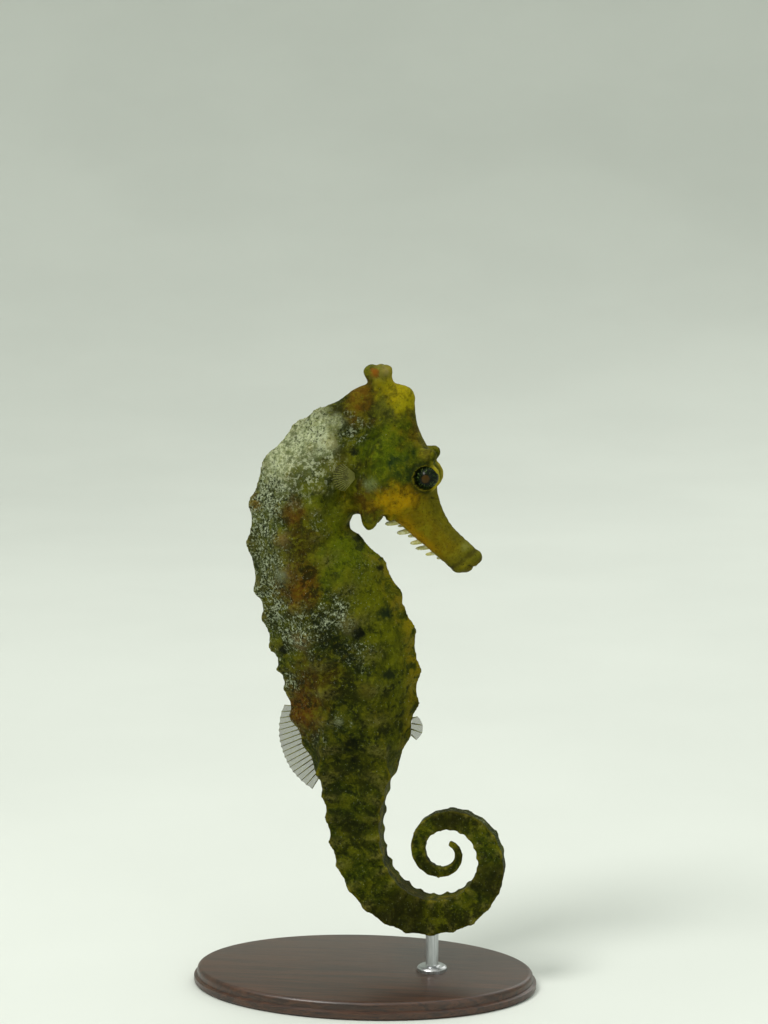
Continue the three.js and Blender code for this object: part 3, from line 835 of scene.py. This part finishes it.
def skinPaint(place):
    names = ("ring", "flank", "head", "ridge", "band", "s", "pit")
    ring, flank, inHead, ridge, band, s, pit = (place.attribute(name) for name in names)
    broad = place.noise(0.11, 4, 0.6)
    blots = place.noise(0.42, 5, 0.65, 0.6)
    fine = place.noise(1.5, 4, 0.7)
    crumbs = place.noise(2.6, 5, 0.78)
    dust = place.noise(5.5, 3, 0.75)
    clumps = place.noise(0.8, 4, 0.7, 0.5)
    snout = s.step(17.0, 20.0) * inHead
    inBody = 1 - inHead
    bare = 1 - snout * 0.55
    mottle = (blots + fine * 0.35).step(0.66, 0.58) * (0.2 + 0.8 * broad.step(0.42, 0.56))
    way = fromEye(place)
    reach = way.vector("LENGTH", out=1)
    offMiddle = place.part("Y").math("ABSOLUTE").step(0.8, 2.5)
    before = way.part("X").step(0.4, 1.5) * (0.1 + 0.9 * offMiddle) * inHead
    behind = way.part("X").step(1.0, -0.4) * inHead
    stripe = ((ring * 1.05).math("SINE") + fine * 0.8 - 0.4).step(0.1, 0.7)
    blot = place.attribute("blot") - (blots * 2.4 + fine - 1.7) * 0.5
    spot = place.attribute("spot") * 1.4 - (blots * 1.6 + fine * 1.2 - 1.4)
    hazy = place.attribute("haze")
    lies = (place.attribute("drift") * (clumps.step(0.38, 0.6) + 0.25)).math("MINIMUM", 1.2) * bare
    grain = (crumbs + lies * 0.09).step(0.57, 0.65) * (lies * 1.2 + 0.1)
    # the palest grains, pale in colour and carrying a painted glint
    grainGlint = dust * 0.35 + crumbs * 0.65 + lies * 0.055 - inHead * 0.035
    colour = layered(
        (44, 43, 5),
        (broad.step(0.42, 0.58), (55, 65, 5), 1),
        (blots.step(0.48, 0.62), (82, 86, 8), 0.45),
        (flank.step(0.58, 0.84) * inBody, (78, 82, 5), 0.8),
        (flank.step(0.86, 0.98) * inBody * blots.step(0.4, 0.6), (134, 112, 7), 0.75),
        (place.attribute("cover") * (0.5 + fine), place.attribute("coverShade", "Color"), 1),
        # snout: orange below, olive above, darker where it flares
        (snout, (102, 88, 6), 0.9),
        (snout * flank.step(0.6, 0.92) * s.step(30, 23), (158, 120, 4), 0.88),
        (snout * flank.step(0.42, 0.12), (84, 84, 16), 0.6),
        (snout * blots.step(0.5, 0.62), (112, 104, 14), 0.6),
        (snout * s.step(27.5, 30.5), (86, 88, 20), 0.6),
        (snout * s.step(30.0, 30.6) * s.step(31.2, 30.7), (48, 42, 10), 0.6),
        (snout * s.step(31.9, 32.4), (74, 54, 10), 0.5),
        (ring.step(7.0, 10.5) * inBody, (28, 35, 5), 0.45),
        (blots.step(0.51, 0.63) * bare, (110, 110, 14), 0.27),
        (blots.step(0.47, 0.36) * bare, (28, 35, 5), 0.4),
        # dark mottling, closest about the middle of the trunk
        (mottle * (1 - inHead * 0.5) * bare, (16, 20, 5), 0.62),
        (fine.step(0.46, 0.32) * bare, (22, 24, 5), 0.42),
        (fine.step(0.54, 0.66) * bare, (116, 121, 18), 0.32),
        # about the eye, dark behind it and clear yellow before it
        (reach.step(3.6, 2.2) * behind, (28, 36, 10), 0.65),
        ((reach + fine * 1.4 - 0.7).step(3.2, 2.4) * before, (166, 152, 20), 0.75),
        # worn knobs and ridges are paler, and the hollows between them get painted shade
        (ridge * band * fine.step(0.35, 0.6), (112, 106, 52), 0.6),
        (pit.step(-0.1, -0.8), (132, 120, 20), 0.35),
        # painted shade in the hollows, where the skin curves in
        (pit.step(0.12, 0.8), (14, 16, 4), 0.6),
        # paler along the edge of the back, painted light shining through the thin skin there
        (flank.step(0.18, 0.02) * ring.step(9, 3) * inBody, (172, 166, 118), 0.6),
        # bands of the tail
        (ring.step(12, 16) * inBody * stripe, (30, 29, 6), 0.6),
        (blot.step(0.0, 1.0), place.attribute("blotShade", "Color"), 0.65),
        # the haze of the nape is streaked
        (hazy * fine.step(0.5, 0.6), (200, 206, 174), 0.48),
        (hazy * fine.step(0.49, 0.38), (88, 98, 60), 0.6),
        # pale grains that lie in drifts, with dark ones between them, and painted glints on the palest
        # of them
        (lies * (1 - hazy), (38, 46, 26), 0.5),
        ((crumbs - lies * 0.08).step(0.43, 0.35), (10, 16, 7), 0.78),
        (grain.math("MINIMUM", 1.0), (142, 150, 120), 0.75),
        (grainGlint.step(0.615, 0.66), (190, 198, 172), 0.8),
        (spot.step(0.0, 1.0), place.attribute("spotShade", "Color"), 0.88),
    )
    return {
        "Base Color": colour,
        "Roughness": 0.5 + 0.2 * dust,
        "Specular IOR Level": 0.035,
        "height": fine * 0.17 + crumbs * 0.14,
    }


seahorse = shapeSkin()
print("skin,", len(seahorse.data.polygons), "faces")


def eyePaint(place):
    way = fromEye(place)
    reach = way.vector("LENGTH", out=1)
    around = way.part("Z").math("ARCTAN2", way.part("X"))
    polar = (around.math("COSINE") * 6, around.math("SINE") * 6, reach * 0.8)
    rays = place.node("ShaderNodeCombineXYZ", {}, polar).noise(1.5, 4, 0.65)
    flecks = place.noise(3.4, 3, 0.7)
    light = rays.step(0.53, 0.62) * flecks.step(0.47, 0.58) * reach.step(0.8, 1.3)
    soft = reach + flecks * 0.5 - 0.25
    colour = layered(
        (4, 9, 4),
        (rays.step(0.44, 0.6), (22, 37, 9), 1),
        (light, (116, 132, 72), 0.6),
        (reach.step(1.75, 2.1), (46, 54, 12), 0.6),
        (soft.step(1.05, 0.75), (12, 12, 5), 0.85),
        # the middle of the pupil is orange-brown, a painted reflection in the lens
        (soft.step(0.8, 0.52), (60, 43, 11), 0.95),
    )
    return {
        "Base Color": colour,
        "Roughness": 0.34,
        "Coat Weight": 0.1,
        "Coat Roughness": 0.06,
        "Specular IOR Level": 0.05,
    }


def makeEyes():
    finish = material("dark_flecked_eye", eyePaint)
    eye = skin["eye"]
    for side, name in ((1, "left"), (-1, "right")):
        bm = bmesh.new()
        bmesh.ops.create_uvsphere(bm, u_segments=64, v_segments=40, radius=eye["radius"])
        pointTo(bm, bm.verts, Vector((0, side, 0)))
        for v in bm.verts:
            # the clear front bulges a little
            front = v.co.y * side > 0
            v.co.y += side * eye["bulge"] * float(bell(math.hypot(v.co.x, v.co.z), 1.0)) * front
        centre = headPoint(eye["s"], eye["h"], side * (eye["y"] - eye["sunk"]))
        bmesh.ops.translate(bm, vec=centre, verts=bm.verts)
        piece(f"{name}_eyeball", bm, finish, [f"eye_{name}"])


makeEyes()
print("eyes")


fins = {
    "membrane": 0.08,
    "ray": (0.13, 0.05),  # radius of a ray at its foot and at its end
    "sunk": 0.12,  # share of its height that a fin reaches into the skin
    "notch": 0.035,  # share that the edge draws back between two rays
    "wave": 0.12,
    "back": {"from": 9.7, "to": 12.2, "turn": 0, "height": 5.2, "sweep": 0.32, "rays": 17},
    "vent": {"from": 10.2, "to": 10.75, "turn": 4, "height": 1.85, "sweep": 0.3, "rays": 4},
    # its angles are how far the rays spread, and how far the fin opens and droops
    "chest": {"root": (-0.6, 4.1, 90.1), "radius": 4.2, "angles": (90, 24, 4), "rays": 15},
}


def finPaint(place):
    ray = place.attribute("ray")
    blots = place.noise(0.6, 4, 0.6)
    fine = place.noise(3.0, 3, 0.6)
    colour = layered(
        (84, 84, 20),
        (blots.step(0.4, 0.65), (66, 70, 12), 1),
        (ray, (118, 119, 56), 0.8),
        (fine.step(0.56, 0.72), (150, 152, 108), 0.4),
        ((blots + fine * 0.3).step(0.64, 0.54), (36, 36, 10), 0.6),
    )
    return {
        "Base Color": colour,
        "Roughness": 0.45 + 0.15 * fine,
        "Specular IOR Level": 0.25,
        "Alpha": 0.38 + 0.5 * ray,
        "height": fine * 0.06,
    }


def fin(name, node, rays, at, finish):
    # a thin membrane over at(t, v), t along its foot and v out to its edge, with rays
    bm = bmesh.new()
    layer = bm.verts.layers.float.new("ray")
    steps = 4 * (rays - 1)
    bmesh.ops.create_grid(bm, x_segments=steps, y_segments=14, size=1)
    for v in bm.verts:
        t, out = (v.co.x + 1) / 2, (v.co.y + 1) / 2
        between = math.sin(math.pi * t * (rays - 1)) ** 2
        v.co = at(t, mix(-fins["sunk"], 1 - fins["notch"] * between, out))
    bm.normal_update()
    for v in bm.verts:
        v.co += v.normal * fins["membrane"] / 2
    bmesh.ops.solidify(bm, geom=bm.faces, thickness=fins["membrane"])
    thick, thin = fins["ray"]
    for i in range(rays):
        t = i / (rays - 1)
        foot, tip = at(t, -fins["sunk"]), at(t, 1.0)
        way = tip - foot
        cone = {"cap_ends": True, "segments": 8, "radius1": thick, "radius2": thin}
        made = bmesh.ops.create_cone(bm, depth=way.length, **cone)["verts"]
        pointTo(bm, made, way)
        bmesh.ops.translate(bm, vec=(foot + tip) / 2, verts=made)
        for v in made:
            v[layer] = 1.0
    return piece(name, bm, finish, [node])


def middleFin(name, node, spec, finish):
    a, b = bodyPoint(spec["from"], spec["turn"]), bodyPoint(spec["to"], spec["turn"])
    length = (b - a).length
    run = (b - a) / length
    outwards = Vector((run.z, 0, -run.x)) * (1 if spec["turn"] < 2 else -1)

    def at(t, v):
        rise = spec["height"] * math.sin(math.pi * mix(0.05, 0.93, t)) ** 0.5
        slant = spec["sweep"] * spec["height"] * (2 * t - 0.6) * max(v, 0)
        wave = fins["wave"] * max(v, 0) * math.sin(5 * math.pi * t)
        return a + run * (length * t + slant) + outwards * (rise * v) + Vector((0, wave, 0))

    fin(name, node, spec["rays"], at, finish)


def chestFin(name, node, side, spec, finish):
    spread, opened, droop = (math.radians(angle) for angle in spec["angles"])
    back = Vector((-math.cos(droop), 0, -math.sin(droop))) * math.cos(opened)
    back.y = side * math.sin(opened)
    up = Vector((-math.sin(droop), 0, math.cos(droop)))
    x, y, z = spec["root"]
    root = Vector((x, side * y, z))

    def at(t, v):
        a = spread * (t - 0.5)
        r = spec["radius"] * mix(0.12, 1 - 0.22 * abs(2 * t - 1) ** 3, v)
        return root + back * (r * math.cos(a)) + up * (r * math.sin(a))

    fin(name, node, spec["rays"], at, finish)


def makeFins():
    finish = material("pale_fin", finPaint)
    middleFin("back_fin", "dorsal_fin", fins["back"], finish)
    middleFin("vent_fin", "anal_fin", fins["vent"], finish)
    for side, name in ((1, "left"), (-1, "right")):
        chestFin(f"{name}_chest_fin", f"pectoral_fin_{name}", side, fins["chest"], finish)


makeFins()
print("fins")


fringe = {
    # place along the snout, length and thickness of each thread
    "threads": [
        (18.9, 2.1, 1.15),
        (20.0, 0.9, 0.6),
        (21.2, 1.8, 1.1),
        (22.5, 1.1, 0.75),
        (23.9, 1.7, 1.0),
        (25.5, 2.3, 0.95),
        (26.9, 1.5, 0.8),
        (28.3, 0.8, 0.6),
    ],
    "sunk": 0.35,
    "lean": 0.25,  # every other thread leans to the other side
    "bend": 0.12,
}


def fringePaint(place):
    fine = place.noise(1.8, 3, 0.6)
    return {
        "Base Color": layered((186, 180, 104), (fine.step(0.4, 0.65), (212, 212, 170), 1)),
        "Roughness": 0.5 + 0.1 * fine,
        "Specular IOR Level": 0.2,
        "Alpha": 0.8 + 0.2 * fine,
        "height": fine * 0.05,
    }


def makeFringe():
    bm = bmesh.new()
    steps = range(10 * (len(head["stations"]) - 1) + 1)
    table = np.array([through(head["stations"], t / 10) for t in steps])
    for i, (s, length, thick) in enumerate(fringe["threads"]):
        low = np.interp(s, table[:, 0], table[:, 1])
        lean = fringe["lean"] if i % 2 else -fringe["lean"]
        root = headPoint(s, low + fringe["sunk"], lean)
        way = headWay(-0.36, -1, lean)
        bend = headWay(-1, 0.3, 0) * fringe["bend"] * length
        side = way.orthogonal().normalized()

        def place(v, u):
            middle = root + way * ((length + fringe["sunk"]) * v) + bend * v * v
            taper = math.sqrt(max(0, 1 - v ** 3)) * (1 - 0.15 * math.sin(math.pi * v))
            a, b = onCircle(u)
            return middle + (side * a + way.cross(side) * b) * (thick / 2 * taper)

        tube(bm, 12, 10, place)
    piece("snout_fringe", bm, material("pale_filament", fringePaint))


makeFringe()
print("fringe")


plinth = {"halfLength": 30, "halfDepth": 20, "thickness": 3, "edge": 0.8}
support = {"rod": 1.1, "collar": 2.6, "rise": 0.9}


def woodPaint(place):
    grain = place.stretched((0.06, 1, 1)).noise(0.9, 5, 0.6, 1.2)
    pores = place.stretched((0.05, 1, 1)).noise(5, 3, 0.7)
    colour = layered(
        (44, 27, 17),
        (grain.step(0.35, 0.65), (74, 45, 27), 1),
        (pores.step(0.46, 0.36), (24, 15, 10), 0.7),
    )
    return {
        "Base Color": colour,
        "Roughness": 0.34 + 0.16 * pores,
        "Coat Weight": 0.25,
        "Coat Roughness": 0.2,
        "height": pores * 0.03,
    }


def steelPaint(place):
    brushed = place.stretched((1, 1, 0.04)).noise(6, 3, 0.6)
    return {
        "Base Color": layered((168, 170, 172), (brushed.step(0.3, 0.7), (202, 204, 206), 1)),
        "Metallic": 1.0,
        "Roughness": 0.24 + 0.16 * brushed,
        "height": brushed * 0.01,
    }


def turned(name, rings, around, finish, node, sharp):
    # a closed turned piece through rings that are given by centre, two radii and height
    def place(v, u):
        x, rx, ry, z = rings[round(v * (len(rings) - 1))]
        a, b = onCircle(u)
        return Vector((x + rx * a, ry * b, z))

    bm = bmesh.new()
    tube(bm, around, len(rings) - 1, place)
    piece(name, bm, finish, [node], sharp)


def makeStand():
    thick, edge, inset = plinth["thickness"], plinth["edge"], plinth["edge"] * 0.7
    # how far each ring of the base lies from its full size, and its height
    profile = [(-edge / 2, 0), (0, edge / 2), (0, thick * 0.42)]
    profile += [(-inset, thick * 0.5), (-inset, thick - edge)]
    for k in range(1, 5):
        a = math.radians(90 * k / 4)
        profile.append((-inset - edge * (1 - math.cos(a)), thick - edge + edge * math.sin(a)))
    rings = [(0, plinth["halfLength"] + out, plinth["halfDepth"] + out, z) for out, z in profile]
    wood = material("dark_wood", woodPaint)
    turned("stand_plinth", rings, 96, wood, "stand_base", 28)

    low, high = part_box("stand_rod")
    x, end = (low.x + high.x) * 500, high.z * 1000
    rod, collar, rise = support["rod"], support["collar"], support["rise"]
    top = thick + rise
    profile = [
        (collar, thick),
        (collar, thick + rise * 0.55),
        (collar - 0.18, thick + rise * 0.8),
        (collar - 0.45, top),
        (rod + 0.35, top),
        (rod + 0.1, top + 0.12),
        (rod, top + 0.4),
        (rod, end - 0.3),
        (rod - 0.3, end),
    ]
    steel = material("brushed_steel", steelPaint)
    rings = [(x, radius, radius, z) for radius, z in profile]
    turned("stand_support", rings, 40, steel, "stand_rod", 30)


makeStand()
print("stand")


studio = {
    "floor": 0.6,  # radius of the flat floor, from which the paper bends up all round
    "bend": 1.0,
    "height": 1.8,
    # name: place, size, watts and colour
    "lamps": {
        "key": ((-0.3, -0.36, 0.66), 0.26, 3.6, (1.0, 0.98, 0.94)),
        "fill": ((0.6, -0.45, 0.38), 0.6, 0.9, (0.98, 1.0, 0.98)),
        "rear": ((0.3, 0.6, 0.5), 0.6, 1.4, (1.0, 0.99, 0.96)),
        "top": ((0.05, 0.1, 0.8), 0.6, 0.8, (1.0, 1.0, 1.0)),
    },
    "sky": (0.88, 0.89, 0.81),
    "skyStrength": 0.85,
}


def stagePaint(place):
    soft = place.noise(0.01, 3, 0.5)
    return {
        "Base Color": layered((214, 219, 214), (soft.step(0.3, 0.7), (218, 223, 218), 1)),
        "Roughness": 0.85,
        "Specular IOR Level": 0.2,
    }


def makeStage():
    # the paper's profile, drawn from the middle out and up, is turned once round
    bm = bmesh.new()
    flat, bend = studio["floor"], studio["bend"]
    profile = [(0, 0), (flat / 2, 0), (flat, 0)]
    for k in range(1, 17):
        a = math.radians(90 * k / 16)
        profile.append((flat + bend * math.sin(a), bend * (1 - math.cos(a))))
    profile.append((flat + bend, studio["height"]))
    line = [bm.verts.new((x, 0, z)) for x, z in profile]
    edges = [bm.edges.new(pair) for pair in zip(line, line[1:])]
    turn = {"cent": (0, 0, 0), "axis": (0, 0, 1), "angle": 2 * math.pi, "steps": 96, "use_merge": True}
    bmesh.ops.spin(bm, geom=line + edges, **turn)
    bmesh.ops.remove_doubles(bm, verts=bm.verts, dist=1e-5)
    bmesh.ops.recalc_face_normals(bm, faces=bm.faces)
    if bm.faces[0].normal.z < 0:
        bmesh.ops.reverse_faces(bm, faces=bm.faces)
    mesh = meshFrom("floor_and_backdrop", bm)
    mesh.materials.append(material("pale_paper", stagePaint))
    mesh.shade_smooth()
    addObject("floor_and_backdrop", mesh)


def makeLight():
    for name, (place, size, watts, colour) in studio["lamps"].items():
        data = bpy.data.lights.new(name, "AREA")
        data.shape = "DISK"
        data.size = size
        data.energy = watts
        data.color = colour
        lamp = addObject(name, data)
        lamp.location = place
        towards = Vector(camera["lookAt"]) - Vector(place)
        lamp.rotation_euler = towards.to_track_quat("-Z", "Y").to_euler()
        lamp.visible_camera = False
    sky = bpy.data.worlds.new("studio")
    sky.use_nodes = True
    background = sky.node_tree.nodes["Background"]
    background.inputs["Color"].default_value = (*studio["sky"], 1)
    background.inputs["Strength"].default_value = studio["skyStrength"]
    bpy.context.scene.world = sky
    bpy.context.scene.view_settings.view_transform = "Standard"


makeStage()
makeLight()
print("stage and light")
